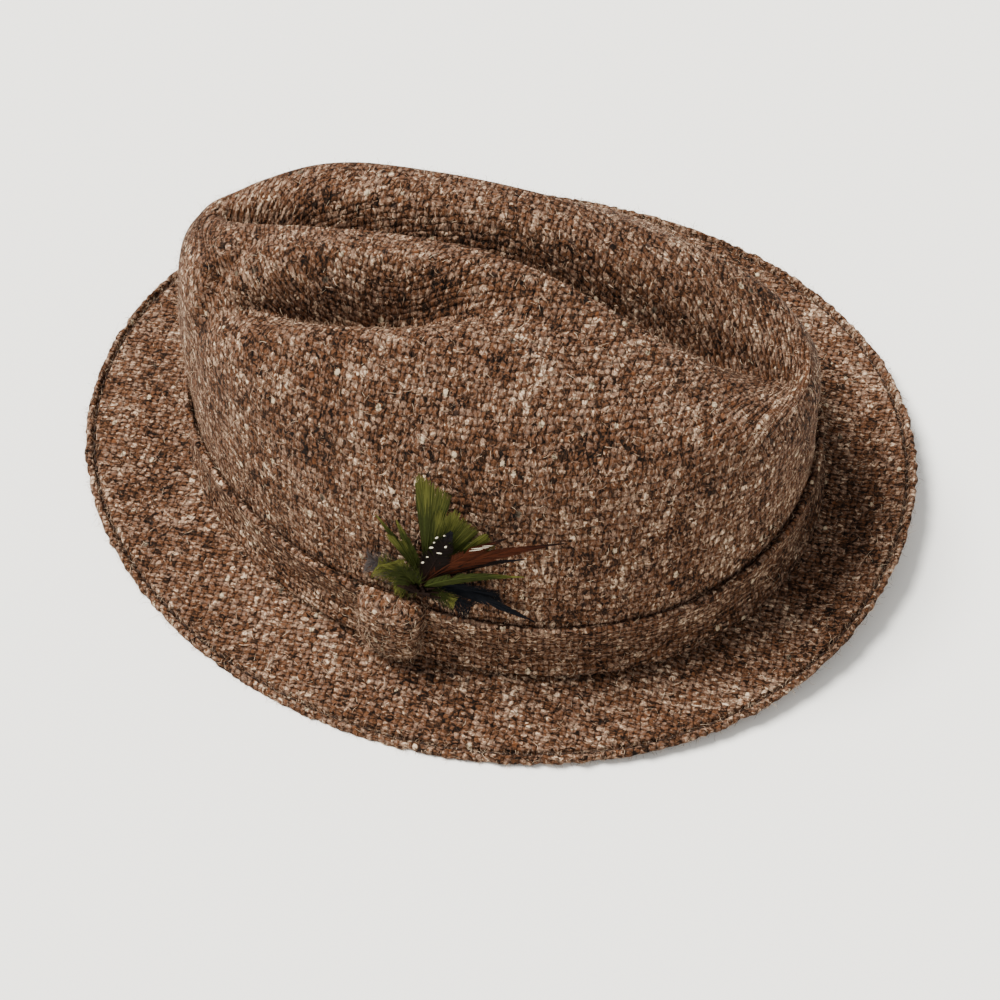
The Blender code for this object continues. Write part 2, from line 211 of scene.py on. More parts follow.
# Feathers. level counts out from the crown, aim is degrees from the band's direction.
FEATHERS = [
    # name, level, aim, reach, width, bend, dip, form, dye
    ("tall_green", 0, 86, 0.0448, 0.0112, 0.0008, 0.0010, "fan", "green"),
    ("broad_green", 0, 67, 0.0352, 0.0105, 0.0010, 0.0012, "fan", "green"),
    ("middle_green", 0, 76, 0.0330, 0.0110, -0.0010, 0.0010, "fan", "green"),
    ("left_spike", 0, 123, 0.0255, 0.0030, 0.0010, 0.0005, "vane", "green"),
    ("grey_fluff", 0, 175, 0.0180, 0.0130, 0.0010, 0.0005, "fluff", "slate"),
    ("navy_point", 0, 0, 0.0320, 0.0048, -0.0090, 0.0000, "vane", "navy"),
    ("side_green", 1, 52, 0.0338, 0.0092, -0.0010, 0.0010, "fan", "green"),
    ("left_green", 1, 106, 0.0250, 0.0040, 0.0010, 0.0010, "vane", "green"),
    ("spike_green", 1, 114, 0.0200, 0.0060, 0.0010, 0.0010, "fan", "green"),
    ("green_fluff", 1, 165, 0.0140, 0.0150, 0.0010, 0.0010, "fluff", "green"),
    ("lower_fluff", 1, 205, 0.0100, 0.0110, 0.0000, 0.0005, "fluff", "green"),
    ("low_green", 3, 47, 0.0310, 0.0044, -0.0110, 0.0012, "vane", "green"),
    ("navy_fan", 1, -20, 0.0160, 0.0130, 0.0000, 0.0005, "fluff", "navy"),
    ("navy_spray", 1, 12, 0.0230, 0.0070, -0.0030, 0.0005, "fluff", "navy"),
    ("under_green", 2, -14, 0.0110, 0.0070, 0.0000, 0.0005, "fluff", "green"),
    ("spotted", 2, 71, 0.0285, 0.0085, 0.0005, 0.0010, "vane", "black"),
    ("rust", 2, 58, 0.0450, 0.0056, -0.0174, 0.0010, "vane", "rust"),
    ("rust_upper", 2, 61, 0.0360, 0.0044, -0.0070, 0.0010, "vane", "rust"),
    ("striped", 2, 55, 0.0330, 0.0034, -0.0120, 0.0004, "vane", "black"),
    ("fluff_core", 3, 130, 0.0120, 0.0120, 0.0000, 0.0005, "fluff", "green"),
]

# How the barbs of each form of feather grow, in shares of the feather and in metres.
FORMS = {
    # form: shaft_end, sweep, pitch, curl, barb_width, least, most, rise
    "fan": (0.93, 0.52, 0.00013, 1.15, 0.00042, 0.93, 1.05, 0.00025),
    "vane": (0.93, 0.17, 0.00022, 1.15, 0.00042, 0.93, 1.05, 0.00025),
    "fluff": (0.70, 0.20, 0.00014, 0.90, 0.00016, 0.25, 1.15, 0.0016),
}

# Screen colours at the root and the tip of each dye, and how rough it is.
DYES = {
    "green": ((38, 44, 16), (84, 84, 38), 0.65),
    "rust": ((32, 16, 10), (24, 15, 12), 0.65),
    "navy": ((13, 14, 17), (13, 14, 17), 0.65),
    "black": ((24, 14, 10), (14, 15, 20), 0.65),
    "slate": ((40, 38, 42), (70, 64, 62), 0.8),
}

# Pale marks on the dark feathers, in millimetres along the band and up the crown.
FEATHER_MARKS = [
    # u, v, lift, length, width, aim
    (4.5, 22.9, 4.5, 1.3, 0.60, 54),
    (6.9, 24.6, 4.5, 1.2, 0.50, 30),
    (3.0, 18.2, 4.5, 1.4, 0.70, 33),
    (7.2, 20.0, 4.5, 1.1, 0.62, 60),
    (5.4, 16.7, 4.5, 1.5, 0.55, 12),
    (0.6, 10.9, 4.5, 1.1, 0.62, 50),
    (1.9, 13.8, 4.5, 0.8, 0.45, 20),
    (3.8, 20.6, 4.5, 0.8, 0.42, 45),
    (17.3, 23.4, 5.2, 5.4, 0.28, 22),
    (16.1, 22.2, 5.2, 4.2, 0.26, 25),
    (19.4, 24.9, 5.2, 3.2, 0.24, 18),
]


def even(colour):
    """Scene colour of a screen colour given as 0 to 255."""
    return [((c / 255 + 0.055) / 1.055) ** 2.4 if c > 10 else c / 255 / 12.92 for c in colour]


# Shape of the hat


def round_hat(front, near, back, far, angle):
    """Value that passes smoothly through four values round the hat."""
    level = (front + near + back + far) / 4
    swing = (front - back) / 2
    side = (near - far) / 2
    double = (front + back - near - far) / 4
    return level + swing * np.cos(angle) + side * np.sin(angle) + double * np.cos(2 * angle)


def section_value(rows, column, angle):
    """Smooth value of one column of a table of sections, round the hat."""
    turns = [(row[0] + turn, row[column]) for turn in (-360, 0, 360) for row in rows]
    knots = np.array([key for key, value in turns], dtype=float)
    values = np.array([value for key, value in turns])
    steps = np.diff(knots)
    slopes = np.diff(values) / steps
    lean = np.zeros(len(knots))
    lean[1:-1] = (slopes[:-1] * steps[1:] + slopes[1:] * steps[:-1]) / (steps[:-1] + steps[1:])
    degrees = np.degrees(angle) % 360
    i = np.searchsorted(knots, degrees, side="right") - 1
    t = (degrees - knots[i]) / steps[i]
    start = (2 * t**3 - 3 * t**2 + 1) * values[i] + (t**3 - 2 * t**2 + t) * steps[i] * lean[i]
    end = (3 * t**2 - 2 * t**3) * values[i + 1] + (t**3 - t**2) * steps[i] * lean[i + 1]
    return start + end


def brim_base(angle):
    return section_value(BRIM_SECTIONS, 1, angle)


def crown_ring(row, angle):
    """Points of one named ring of the crown."""
    name, front, back, near, far, full, egg, rise_f, rise_n, rise_b, rise_r, shift = row
    c = np.cos(angle)
    s = np.sin(angle)
    ends = front * (1 + c) / 2 + back * (1 - c) / 2
    y = HEAD_SHIFT - HEAD_LENGTH / 2 * ends * c
    half = near * (1 + s) / 2 + far * (1 - s) / 2
    drift = (CREASE_SHIFT * (1 - (near + far) / 2) + shift) * (1 - 0.8 * c * c)
    x = drift + HEAD_WIDTH / 2 * half * s * (1 + full * c * c) * (1 - egg * c)
    rise = round_hat(rise_f, rise_n, rise_b, rise_r, angle)
    return np.stack([x, y, brim_base(angle) + GAP + CROWN_HEIGHT * rise], axis=-1)


def crown_skin(angle, ring):
    """Outer skin of the crown without its dents, at a ring count that may be a fraction."""
    rings = [crown_ring(row, angle) for row in CROWN_RINGS]
    rings = [2 * rings[0] - rings[1]] + rings + [2 * rings[-1] - rings[-2]]
    i = int(min(ring, len(CROWN_RINGS) - 1.000001))
    t = ring - i
    a, b, c, d = rings[i : i + 4]
    curve = 2 * b + (c - a) * t + (2 * a - 5 * b + 4 * c - d) * t**2
    return 0.5 * (curve + (3 * b - a - 3 * c + d) * t**3)


def grid_normals(grid):
    """Outward normals of a grid of points that is closed round the hat."""
    around = np.roll(grid, -1, axis=0) - np.roll(grid, 1, axis=0)
    along = np.gradient(grid, axis=1)
    normals = np.cross(around, along)
    return normals / np.maximum(np.linalg.norm(normals, axis=-1, keepdims=True), 1e-12)


def crown_grid():
    """Grid of the crown's outer skin with its dents, and the normals."""
    angle = np.linspace(0, 2 * pi, CROWN_SIDES, endpoint=False)
    share = np.linspace(0, 1, CROWN_ROWS)
    levels = (len(CROWN_RINGS) - 1) * (1.25 * share - 0.25 * share**2)
    grid = np.stack([crown_skin(angle, ring) for ring in levels], axis=1)
    normals = grid_normals(grid)
    shift = np.zeros(grid.shape[:2])
    for name, degrees, ring, half_length, half_height, depth, tilt in CROWN_DENTS:
        spot = np.array([radians(degrees)])
        middle = crown_skin(spot, ring)[0]
        level = crown_skin(np.array([radians(degrees + 1)]), ring)[0] - middle
        rise = crown_skin(spot, ring + 0.1)[0] - middle
        level /= np.linalg.norm(level)
        rise /= np.linalg.norm(rise)
        along = level * cos(radians(tilt)) + rise * sin(radians(tilt))
        across = rise * cos(radians(tilt)) - level * sin(radians(tilt))
        away = grid - middle
        reach = np.abs(away @ along / half_length) ** DENT_BLUNT
        reach += (away @ across / half_height) ** 2
        size = max(half_length, half_height)
        near = np.exp(-((np.linalg.norm(away, axis=-1) / (2.2 * size)) ** 4))
        shift += depth * np.exp(-reach) * near
    shift[:, -1] = 0
    return grid - normals * shift[..., None], normals


def wall_at(angle, height):
    """Point of the crown's outer wall at heights above the brim, and its level normal."""
    levels = np.linspace(0, 1.6, 33)
    skins = np.stack([crown_skin(angle, ring) for ring in levels], axis=1)
    rises = skins[..., 2] - brim_base(angle)[:, None]
    heights = np.broadcast_to(height, angle.shape)
    points = np.empty((len(angle), 3))
    for k in range(len(angle)):
        for axis in range(3):
            points[k, axis] = np.interp(heights[k], rises[k], skins[k, :, axis])
    level = crown_skin(angle + 0.01, 1.0) - crown_skin(angle - 0.01, 1.0)
    normal = np.stack([level[:, 1], -level[:, 0], np.zeros(len(angle))], axis=-1)
    points[:, 2] = brim_base(angle) + heights
    return points, normal / np.linalg.norm(normal, axis=1, keepdims=True)


def brim_edge(angle):
    c = np.cos(angle)
    x = BRIM_WIDTH / 2 * np.sin(angle) * (1 + BRIM_FULL * c * c) * (1 - BRIM_EGG * c)
    spread = section_value(BRIM_SECTIONS, 4, angle)
    return np.stack([x, -BRIM_LENGTH / 2 * c], axis=-1) * spread[:, None]


def brim_top(angle, share):
    """Top face of the brim, share 0 at the crown and 1 at the edge; share may be an array."""
    wall = crown_ring(CROWN_RINGS[0], angle)[:, :2]
    edge = brim_edge(angle)
    base = brim_base(angle)
    rim = section_value(BRIM_SECTIONS, 2, angle)
    bow = section_value(BRIM_SECTIONS, 3, angle)
    share = np.broadcast_to(share, angle.shape)
    flat = wall + (edge - wall) * share[:, None]
    return np.column_stack([flat, base + (rim - base) * share + 4 * bow * share * (1 - share)])


def softness(points, scale, amount):
    """Small smooth unevenness of hand-shaped cloth at each point."""
    flat = points.reshape(-1, 3)
    values = [noise.noise(Vector(p) * scale) for p in flat]
    return (np.array(values) * amount).reshape(points.shape[:-1])


def run_length(points, axis):
    """Distance walked along one axis of a grid of points."""
    steps = np.linalg.norm(np.diff(points, axis=axis), axis=-1)
    start = np.zeros_like(np.take(steps, [0], axis=axis))
    return np.concatenate([start, np.cumsum(steps, axis=axis)], axis=axis)


def headings(line):
    """Direction of a line at each of its points."""
    ahead = np.gradient(line, axis=0)
    return ahead / np.maximum(np.linalg.norm(ahead, axis=1, keepdims=True), 1e-9)


def place_in_scene(name, data):
    made = bpy.data.objects.new(name, data)
    bpy.context.scene.collection.objects.link(made)
    return made


def cloth_mesh(name, verts, faces, weave, material):
    """Smooth piece whose weave layer holds metres along the two threads at each corner."""
    mesh = bpy.data.meshes.new(name)
    mesh.from_pydata(np.asarray(verts).tolist(), [], faces)
    layer = mesh.uv_layers.new(name="weave")
    layer.data.foreach_set("uv", np.asarray(weave, dtype=np.float32).ravel())
    mesh.polygons.foreach_set("use_smooth", [True] * len(mesh.polygons))
    mesh.materials.append(material)
    mesh.validate()
    piece = place_in_scene(name, mesh)
    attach(piece, "root")
    return piece


def hoop_mesh(name, loops, weave_along, material):
    """Closed body swept round the hat from loops in section order.

    weave_along holds the length round the hat at each side, or None for cloth laid flat.
    """
    loops = np.asarray(loops)
    count, sides = loops.shape[:2]
    seam = np.concatenate([loops, loops[:, :1]], axis=1)
    seam = np.concatenate([seam, seam[:1]], axis=0)
    spots = seam[..., :2]
    if weave_along is not None:
        across = run_length(seam[:, :-1], 0).mean(axis=1)
        spots = np.stack(np.broadcast_arrays(weave_along, across[:, None]), axis=-1)
    faces = []
    weave = []
    for k in range(count):
        after = (k + 1) % count
        for i in range(sides):
            j = (i + 1) % sides
            faces.append((k * sides + j, k * sides + i, after * sides + i, after * sides + j))
            weave += [spots[k, i + 1], spots[k, i], spots[k + 1, i], spots[k + 1, i + 1]]
    return cloth_mesh(name, loops.reshape(-1, 3), faces, weave, material)


# Nodes of the finishes


def node(tree, kind, inputs=None, **settings):
    made = tree.nodes.new("ShaderNode" + kind)
    for key, value in settings.items():
        setattr(made, key, value)
    for key, value in (inputs or {}).items():
        if isinstance(value, bpy.types.NodeSocket):
            tree.links.new(value, made.inputs[key])
        else:
            made.inputs[key].default_value = value
    return made


def sums(tree, operation, *values):
    return node(tree, "Math", dict(enumerate(values)), operation=operation).outputs[0]


def vectors(tree, operation, *values):
    return node(tree, "VectorMath", dict(enumerate(values)), operation=operation).outputs[0]


def weighted(tree, start, *pairs):
    """Start value plus each socket times its weight."""
    total = start
    for socket, weight in pairs:
        total = sums(tree, "MULTIPLY_ADD", socket, weight, total)
    return total


def ramp(tree, factor, stops):
    made = node(tree, "ValToRGB", {"Fac": factor})
    points = made.color_ramp.elements
    while len(points) < len(stops):
        points.new(0.5)
    for point, (place, colour) in zip(points, stops):
        point.position = place
        point.color = (*colour, 1)
    return made.outputs["Color"]


def blend_colours(tree, factor, first, second, mode="MIX"):
    values = {0: factor, 6: first, 7: second}
    return node(tree, "Mix", values, data_type="RGBA", blend_type=mode).outputs[2]


def darken(tree, colour, light):
    """Colour times one value in all its channels."""
    shade = node(tree, "CombineColor", {0: light, 1: light, 2: light}).outputs[0]
    return blend_colours(tree, 1.0, colour, shade, "MULTIPLY")


def tremble(tree, place, scale, detail):
    """Noise to either side of zero, for moving a place."""
    drift = node(tree, "TexNoise", {"Vector": place, "Scale": scale, "Detail": detail})
    return vectors(tree, "SUBTRACT", drift.outputs["Color"], (0.5, 0.5, 0.5))


def new_group(name, inputs, outputs):
    """Empty node group, with the sockets of its two ends."""
    tree = bpy.data.node_groups.new(name, "ShaderNodeTree")
    for way, sockets in (("INPUT", inputs), ("OUTPUT", outputs)):
        for label, kind in sockets.items():
            tree.interface.new_socket(label, in_out=way, socket_type="NodeSocket" + kind)
    source = tree.nodes.new("NodeGroupInput").outputs
    return tree, source, tree.nodes.new("NodeGroupOutput").inputs


def tweed_group():
    """Plain weave of mottled woollen yarns: gives the colour, with painted shade between the threads,
    and the height of the cloth.
    """
    looks = bpy.context.scene.hat_cloth
    inputs = {"Cloth": "Vector", "Place": "Vector", "Grain": "Vector"}
    inputs.update({"Warp Pitch": "Float", "Weft Pitch": "Float"})
    tree, source, result = new_group("tweed_weave", inputs, {"Colour": "Color", "Height": "Float"})
    times = partial(sums, tree, "MULTIPLY")
    under = partial(sums, tree, "LESS_THAN")
    cloth = source["Cloth"]
    solid = source["Place"]

    # The crossings of the threads, and the place inside each.
    pitch = {"X": source["Warp Pitch"], "Y": source["Weft Pitch"], "Z": 1.0}
    threads = vectors(tree, "DIVIDE", cloth, node(tree, "CombineXYZ", pitch).outputs[0])
    drift = vectors(tree, "MULTIPLY", tremble(tree, cloth, 230.0, 2.0), (1.5, 1.5, 0.0))
    threads = vectors(tree, "ADD", threads, drift)
    cell = vectors(tree, "FLOOR", threads)
    inside = vectors(tree, "SUBTRACT", vectors(tree, "FRACTION", threads), (0.5, 0.5, 0.0))
    parts = node(tree, "SeparateXYZ", {0: inside}).outputs
    cells = node(tree, "SeparateXYZ", {0: cell}).outputs

    # Height of the upper thread: the warp and the weft take turns.
    over = sums(tree, "FLOORED_MODULO", sums(tree, "ADD", cells[0], cells[1]), 2.0)
    square_x = times(parts[0], parts[0])
    square_y = times(parts[1], parts[1])
    deep = sums(tree, "MAXIMUM", square_x, square_y)
    warp = weighted(tree, 0.0, (square_x, 3.4), (square_y, 1.6))
    weft = weighted(tree, 0.0, (square_x, 1.6), (square_y, 3.4))
    low = node(tree, "Mix", {0: over, 2: warp, 3: weft}).outputs[0]
    hill = sums(tree, "SUBTRACT", 1.0, low)

    # Tone of the fibres, from small flecks to wide patches.
    bend = vectors(tree, "MULTIPLY", tremble(tree, solid, 420.0, 1.0), (0.0022, 0.0022, 0.0022))
    fibres = vectors(tree, "MULTIPLY", vectors(tree, "ADD", solid, bend), source["Grain"])
    flecks = node(tree, "TexVoronoi", {"Vector": fibres, "Scale": 1.0, "Randomness": 1.0})
    fleck = node(tree, "SeparateColor", {0: flecks.outputs["Color"]}).outputs[0]
    yarn = node(tree, "TexWhiteNoise", {"Vector": cell}, noise_dimensions="2D").outputs["Value"]
    hair = {"Vector": fibres, "Scale": 1.7, "Detail": 3.0, "Roughness": 0.65}
    fine = node(tree, "TexNoise", hair).outputs[0]
    patch = node(tree, "TexNoise", {"Vector": solid, "Scale": 75.0, "Detail": 2.0}).outputs[0]
    tone = weighted(tree, -0.5, (fleck, 0.44), (yarn, 0.26), (fine, 0.85), (patch, 0.45))
    yarns = (looks.dark_yarn, looks.brown_yarn, looks.rust_yarn)
    yarns += (looks.taupe_yarn, looks.sand_yarn, looks.cream_yarn)
    colour = ramp(tree, tone, list(zip((0.16, 0.33, 0.47, 0.60, 0.76, 0.92), yarns)))

    # Pale, warm and dark slubs.
    spread = vectors(tree, "MULTIPLY", solid, (165.0, 190.0, 125.0))
    slubs = node(tree, "TexVoronoi", {"Vector": spread, "Scale": 1.0, "Randomness": 1.0})
    kind = node(tree, "SeparateColor", {0: slubs.outputs["Color"]}).outputs
    slub = under(weighted(tree, -0.175, (slubs.outputs["Distance"], 1.0), (fine, 0.35)), 0.15)
    pale = times(slub, sums(tree, "GREATER_THAN", kind[0], 0.62))
    warm = times(slub, under(kind[0], 0.30))
    inky = times(slub, under(kind[1], 0.20))
    dyes = ((pale, 0.75, (196, 176, 146)), (warm, 0.6, (100, 60, 34)), (inky, 0.85, (34, 27, 24)))
    for mask, strength, screen in dyes:
        colour = blend_colours(tree, times(mask, strength), colour, (*even(screen), 1))

    # Painted shade: the colour is darkened in the low gaps between the threads and lightened a little
    # on their crowns.
    painted_gap_shade = {"Value": hill, "From Min": 0.0, "From Max": 0.7, "To Min": 0.30, "To Max": 1.15}
    colour = darken(tree, colour, node(tree, "MapRange", painted_gap_shade).outputs[0])
    height = weighted(tree, 0.0, (hill, 0.62), (fine, 0.55), (pale, 0.25), (deep, -0.4))
    tree.links.new(colour, result["Colour"])
    tree.links.new(height, result["Height"])
    return tree


def barb_group():
    """Dye of feather barbs: changes along the feather, and lighter or darker from barb to barb."""
    inputs = {"Place": "Vector", "Root": "Color", "Body": "Color", "Tip": "Color"}
    tree, source, result = new_group("barb_dye", inputs, {"Colour": "Color"})
    parts = node(tree, "SeparateXYZ", {0: source["Place"]}).outputs
    start = node(tree, "MapRange", {"Value": parts[1], "From Max": 0.45}).outputs[0]
    end = node(tree, "MapRange", {"Value": parts[1], "From Min": 0.80}).outputs[0]
    colour = blend_colours(tree, start, source["Root"], source["Body"])
    colour = blend_colours(tree, end, colour, source["Tip"])
    fine = vectors(tree, "MULTIPLY", source["Place"], (90.0, 30.0, 1.0))
    grain = node(tree, "TexNoise", {"Vector": fine, "Scale": 1.0}).outputs[0]
    light = weighted(tree, 0.30, (parts[0], 0.75), (grain, 0.7))
    tree.links.new(darken(tree, colour, light), result["Colour"])
    return tree


def new_finish(name, rough, shine):
    finish = bpy.data.materials.new(name)
    finish.use_nodes = True
    shader = finish.node_tree.nodes["Principled BSDF"]
    shader.inputs["Roughness"].default_value = rough
    shader.inputs["Specular IOR Level"].default_value = shine
    return finish, finish.node_tree, shader.inputs


def weave_place(tree):
    return node(tree, "UVMap", uv_map="weave").outputs["UV"]


def tweed_finish(part):
    """Woollen cloth of one part, with the shared weave."""
    warp, weft, grain = CLOTHS[part]
    finish, tree, shader = new_finish(part + "_tweed", 0.95, 0.08)
    place = node(tree, "TexCoord").outputs["Object"]
    values = {"Cloth": weave_place(tree), "Place": place, "Grain": grain}
    values.update({"Warp Pitch": warp, "Weft Pitch": weft})
    group = bpy.data.node_groups.get("tweed_weave") or tweed_group()
    weave = node(tree, "Group", values, node_tree=group).outputs
    bump = node(tree, "Bump", {"Height": weave["Height"], "Strength": 1.0, "Distance": 0.0008})
    tree.links.new(weave["Colour"], shader["Base Color"])
    tree.links.new(bump.outputs["Normal"], shader["Normal"])
    return finish


def hair_finish(name, stops, rough):
    """Finish of strands, whose weave layer holds a shade and the place along the strand."""
    finish, tree, shader = new_finish(name, rough, 0.25)
    shade = node(tree, "SeparateXYZ", {0: weave_place(tree)}).outputs[0]
    tree.links.new(ramp(tree, shade, stops), shader["Base Color"])
    return finish


def plume_finish(name, root, body, tip, rough=0.65):
    """Finish of a feather from its scene colours at the root, in the middle and at the tip."""
    finish, tree, shader = new_finish(name, rough, 0.02)
    values = {"Root": (*root, 1), "Body": (*body, 1), "Tip": (*tip, 1), "Place": weave_place(tree)}
    group = bpy.data.node_groups.get("barb_dye") or barb_group()
    dye = node(tree, "Group", values, node_tree=group)
    tree.links.new(dye.outputs["Colour"], shader["Base Color"])
    return finish


# Cloth pieces


def crown_skins():
    """Outer and inner skin of the crown, with the unevenness of soft cloth, and the normals."""
    outer, normals = crown_grid()
    hold = np.sin(pi * np.linspace(0, 1, CROWN_ROWS)) ** 0.5
    wave = softness(outer, 26.0, 0.0011) + softness(outer, 75.0, 0.00035)
    outer = outer + normals * (wave * hold[None])[..., None]
    down = normals.copy()
    mirror = (-np.arange(CROWN_SIDES)) % CROWN_SIDES
    down[:, -1] = down[:, -1] + down[mirror, -1]
    down[:, 0, 2] = 0
    for row in (-1, 0):
        down[:, row] /= np.linalg.norm(down[:, row], axis=1, keepdims=True)
    return outer, outer - down * CROWN_WALL, normals


def crown_threads(outer):
    """Lengths along the threads of the near half, the far half and the ends, and up the crown.

    They follow the wall low down and run straight over the top. The halves lie apart in the cloth.
    """
    closed = np.concatenate([outer, outer[:1]], axis=0)
    around = run_length(closed, 0)
    quarter = CROWN_SIDES // 4
    levels = np.linspace(0, len(CROWN_RINGS) - 1, CROWN_ROWS)
    top = np.clip((levels - TOP_START) / TOP_BLEND, 0, 1)
    top = top * top * (3 - 2 * top)
    near = (around - around[quarter]) * (1 - top) + (closed[..., 1] - closed[quarter, :, 1]) * top
    far = (around - around[3 * quarter]) * (1 - top)
    far = far - (closed[..., 1] - closed[3 * quarter, :, 1]) * top + FAR_CLOTH
    return near, far, closed[..., 0] + ENDS_CLOTH, run_length(closed, 1)


def make_crown():
    outer, inner, normals = crown_skins()
    near, far, ends, rise = crown_threads(outer)
    last = CROWN_ROWS - 1
    verts = []
    index = {}
    for side, grid in ((0, outer), (1, inner)):
        for row in range(CROWN_ROWS):
            for i in range(CROWN_SIDES if row < last else CROWN_SIDES // 2 + 1):
                index[side, i, row] = len(verts)
                verts.append(grid[i, row])

    def at(side, i, row):
        i %= CROWN_SIDES
        return index[side, min(i, CROWN_SIDES - i) if row == last else i, row]

    faces = []
    weave = []
    for side in (0, 1):
        for row in range(last):
            for i in range(CROWN_SIDES):
                along = near if i < CROWN_SIDES // 2 else far
                if abs(normals[i, row, 1]) > ENDS_FACING:
                    along = ends
                corners = [(i, row), (i + 1, row), (i + 1, row + 1), (i, row + 1)]
                corners = corners[::-1] if side else corners
                faces.append([at(side, c, r) for c, r in corners])
                weave.extend((along[c, r], rise[c, r]) for c, r in corners)
    for i in range(CROWN_SIDES):
        faces.append([at(0, i + 1, 0), at(0, i, 0), at(1, i, 0), at(1, i + 1, 0)])
        one, two = near[i, 0], near[i + 1, 0]
        weave.extend([(two, 0.0), (one, 0.0), (one, -CROWN_WALL), (two, -CROWN_WALL)])
    crown = cloth_mesh("cloth_crown", verts, faces, weave, tweed_finish("crown"))
    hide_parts("crown")


def brim_wave(points, share):
    """Slight unevenness of the brim, none where it meets the crown or rests."""
    hold = np.sin(pi * np.clip(share, 0, 1)) ** 0.8
    flat = points * np.array([1.0, 1.0, 0.0])
    fray = softness(flat, 210.0, 0.00045) + softness(flat, 620.0, 0.0005)
    return softness(flat, 24.0, 0.0012) * hold + fray * (np.asarray(share) > 0.9)


def brim_width(angle):
    """Distance from the foot of the crown to the edge of the brim, and the foot itself."""
    wall = crown_ring(CROWN_RINGS[0], angle)[:, :2]
    return np.linalg.norm(brim_edge(angle) - wall, axis=1), wall


def brim_line(angle, share, drop):
    """Uneven line round the brim at a share of its width, lowered by drop."""
    line = brim_top(angle, share)
    line[:, 2] += brim_wave(line, share) - drop
    return line


def make_brim():
    angle = np.linspace(0, 2 * pi, BRIM_SIDES, endpoint=False)
    width, wall = brim_width(angle)
    inward = wall - np.array([0.0, HEAD_SHIFT])
    inward /= np.linalg.norm(inward, axis=1, keepdims=True)
    lip = np.column_stack([wall - inward * BRIM_MARGIN, brim_base(angle)])
    flat_share = 1 - TURN_START / width
    steps = np.linspace(0, 1, BRIM_ROWS)
    loops = [lip] + [brim_line(angle, step * flat_share, 0.0) for step in steps]
    edge = np.column_stack([brim_edge(angle), angle * 0])
    wobble = softness(edge, 260.0, 0.0006) + softness(edge, 640.0, 0.0006)
    for inset, drop in BRIM_TURN:
        share = 1 - (inset / 1000 + wobble * max(0.0, 1 - inset / 3)) / width
        loops.append(brim_line(angle, share, drop / 1000))
    loops += [brim_line(angle, step * flat_share, BRIM_THICK) for step in steps[::-2]]
    loops.append(lip - np.array([0, 0, BRIM_THICK]))
    for line in loops:
        line[:, 2] = np.maximum(line[:, 2], 0.0)
    brim = hoop_mesh("cloth_brim", loops, None, tweed_finish("brim"))
    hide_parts("brim")


def make_brim_stitches():
    """Dark thread that holds the turned edge, lying in its groove; its dark colour is partly its own
    and partly painted shade of the groove.
    """
    verts = []
    faces = []
    for k in range(STITCHES):
        turn = np.linspace(k, k + STITCH_SHARE, 4) * 2 * pi / STITCHES
        share = 1 - GROOVE_INSET / brim_width(turn)[0]
        line = brim_line(turn, share, np.array(STITCH_DROPS))
        first = len(verts)
        for p, out in zip(line, np.cross(headings(line), [0, 0, 1])):
            for c, s in ROUND:
                verts.append(p + out * THREAD_WIDE * c + np.array([0, 0, THREAD_HIGH * s]))
        for base in (first, first + 6, first + 12):
            for a in range(6):
                b = (a + 1) % 6
                faces.append((base + a, base + 6 + a, base + 6 + b, base + b))
        faces.append(range(first, first + 6))
        faces.append(range(first + 23, first + 17, -1))
    weave = [(0.2, 0.0)] * sum(len(face) for face in faces)
    # Thread colour: partly the thread's own, partly painted shade of the deep groove.
    stops = [(0.0, even((40, 27, 20))), (1.0, even((60, 44, 34)))]
    finish = hair_finish("stitch_thread_and_groove_shade", stops, 0.8)
    thread = cloth_mesh("brim_stitches", verts, faces, weave, finish)


def make_band():
    """Folded band: a padded outer face, and a flat back close to the crown."""
    angle = np.linspace(0, 2 * pi, BAND_SIDES, endpoint=False)
    outs, ups = zip(*BAND_PROFILE)
    degrees = np.degrees(angle)
    loops = []
    for step in np.linspace(0, len(ups) - 1, BAND_ROWS):
        up = float(np.interp(step, range(len(ups)), ups))
        out = float(np.interp(step, range(len(ups)), outs))
        points, normal = wall_at(angle, BAND_LIFT + BAND_HEIGHT * up)
        shift = np.zeros(BAND_SIDES)
        for name, turn, middle, long, high, depth, slope in BAND_FOLDS:
            away = (degrees - turn + 180) % 360 - 180
            lift = middle + slope * away
            shift += depth * np.exp(-((away / long) ** 2) - ((up - lift) / high) ** 2)
        line = points + normal * (GAP + np.maximum(BAND_THICK * out - shift, 0.0004))[:, None]
        wave = softness(line, 55.0, 0.0005) * sin(pi * min(max(up, 0.02), 0.98))
        line += normal * wave[:, None]
        loops.append(line)
    for up in (0.97, 0.66, 0.34, 0.03):
        points, normal = wall_at(angle, BAND_LIFT + BAND_HEIGHT * up)
        loops.append(points + normal * (GAP + 0.0001))
    loops = np.array(loops)
    middle = np.concatenate([loops[20], loops[20][:1]], axis=0)
    band = hoop_mesh("cloth_band", loops[::-1], run_length(middle, 0), tweed_finish("band"))
    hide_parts("band")


